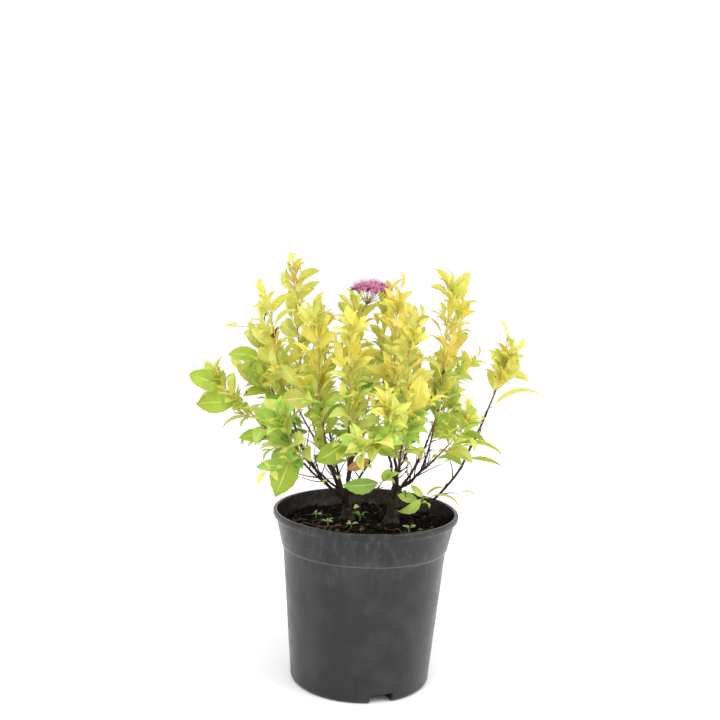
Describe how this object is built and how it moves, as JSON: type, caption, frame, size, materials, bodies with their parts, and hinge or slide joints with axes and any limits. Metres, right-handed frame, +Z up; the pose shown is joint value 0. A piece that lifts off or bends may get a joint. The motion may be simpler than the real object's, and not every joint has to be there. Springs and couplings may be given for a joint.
{
  "type": "potted spirea shrub",
  "caption": "Young golden-leaved spirea shrub with one pink flower head, on slim bare stems in a round black nursery pot of soil.",
  "frame": {"origin": "centre of the pot's flat underside, on the pot's axis", "axes": "+Z up along the pot's axis, -Y towards the front of the plant, +X to its right seen from the front"},
  "size_m": [0.3555, 0.2979, 0.4336],
  "materials": {
    "pot": "dark grey moulded plastic, dusty at the collar",
    "soil": "moist bark and peat compost",
    "bark": "thin purple-brown bark",
    "leaf": "soft golden yellow to lime green leaves"
  },
  "bodies": {
    "root": {"pot": "pot", "soil": "soil", "stump_right": "bark", "stump_left": "bark", "bough_left_top": "bark", "bough_left_high": "bark", "bough_left_front": "bark", "bough_middle_flower": "bark", "bough_front": "bark", "bough_back_left": "bark", "bough_back": "bark", "bough_middle_right": "bark", "bough_right_top": "bark", "bough_far_right": "bark", "bough_front_right": "bark", "bough_right_inner": "bark", "bough_back_right": "bark", "bough_middle_back": "bark", "bough_left_outer": "bark", "bough_left_low": "bark", "bough_front_left_low": "bark", "bough_front_low": "bark", "bough_right_low": "bark", "bough_back_right_low": "bark", "bough_back_low": "bark", "bough_back_left_low": "bark", "bough_rim_right": "bark", "bough_rim_front": "bark", "bough_left_inner": "bark", "foliage_left_top": "leaf", "foliage_left_high": "leaf", "foliage_left_front": "leaf", "foliage_middle_flower": "leaf", "foliage_front": "leaf", "foliage_back_left": "leaf", "foliage_back": "leaf", "foliage_middle_right": "leaf", "foliage_right_top": "leaf", "foliage_far_right": "leaf", "foliage_front_right": "leaf", "foliage_right_inner": "leaf", "foliage_back_right": "leaf", "foliage_middle_back": "leaf", "foliage_left_outer": "leaf", "foliage_left_low": "leaf", "foliage_front_left_low": "leaf", "foliage_front_low": "leaf", "foliage_right_low": "leaf", "foliage_back_right_low": "leaf", "foliage_back_low": "leaf", "foliage_back_left_low": "leaf", "foliage_rim_right": "leaf", "foliage_rim_front": "leaf", "foliage_left_inner": "leaf"}
  },
  "joints": []
}
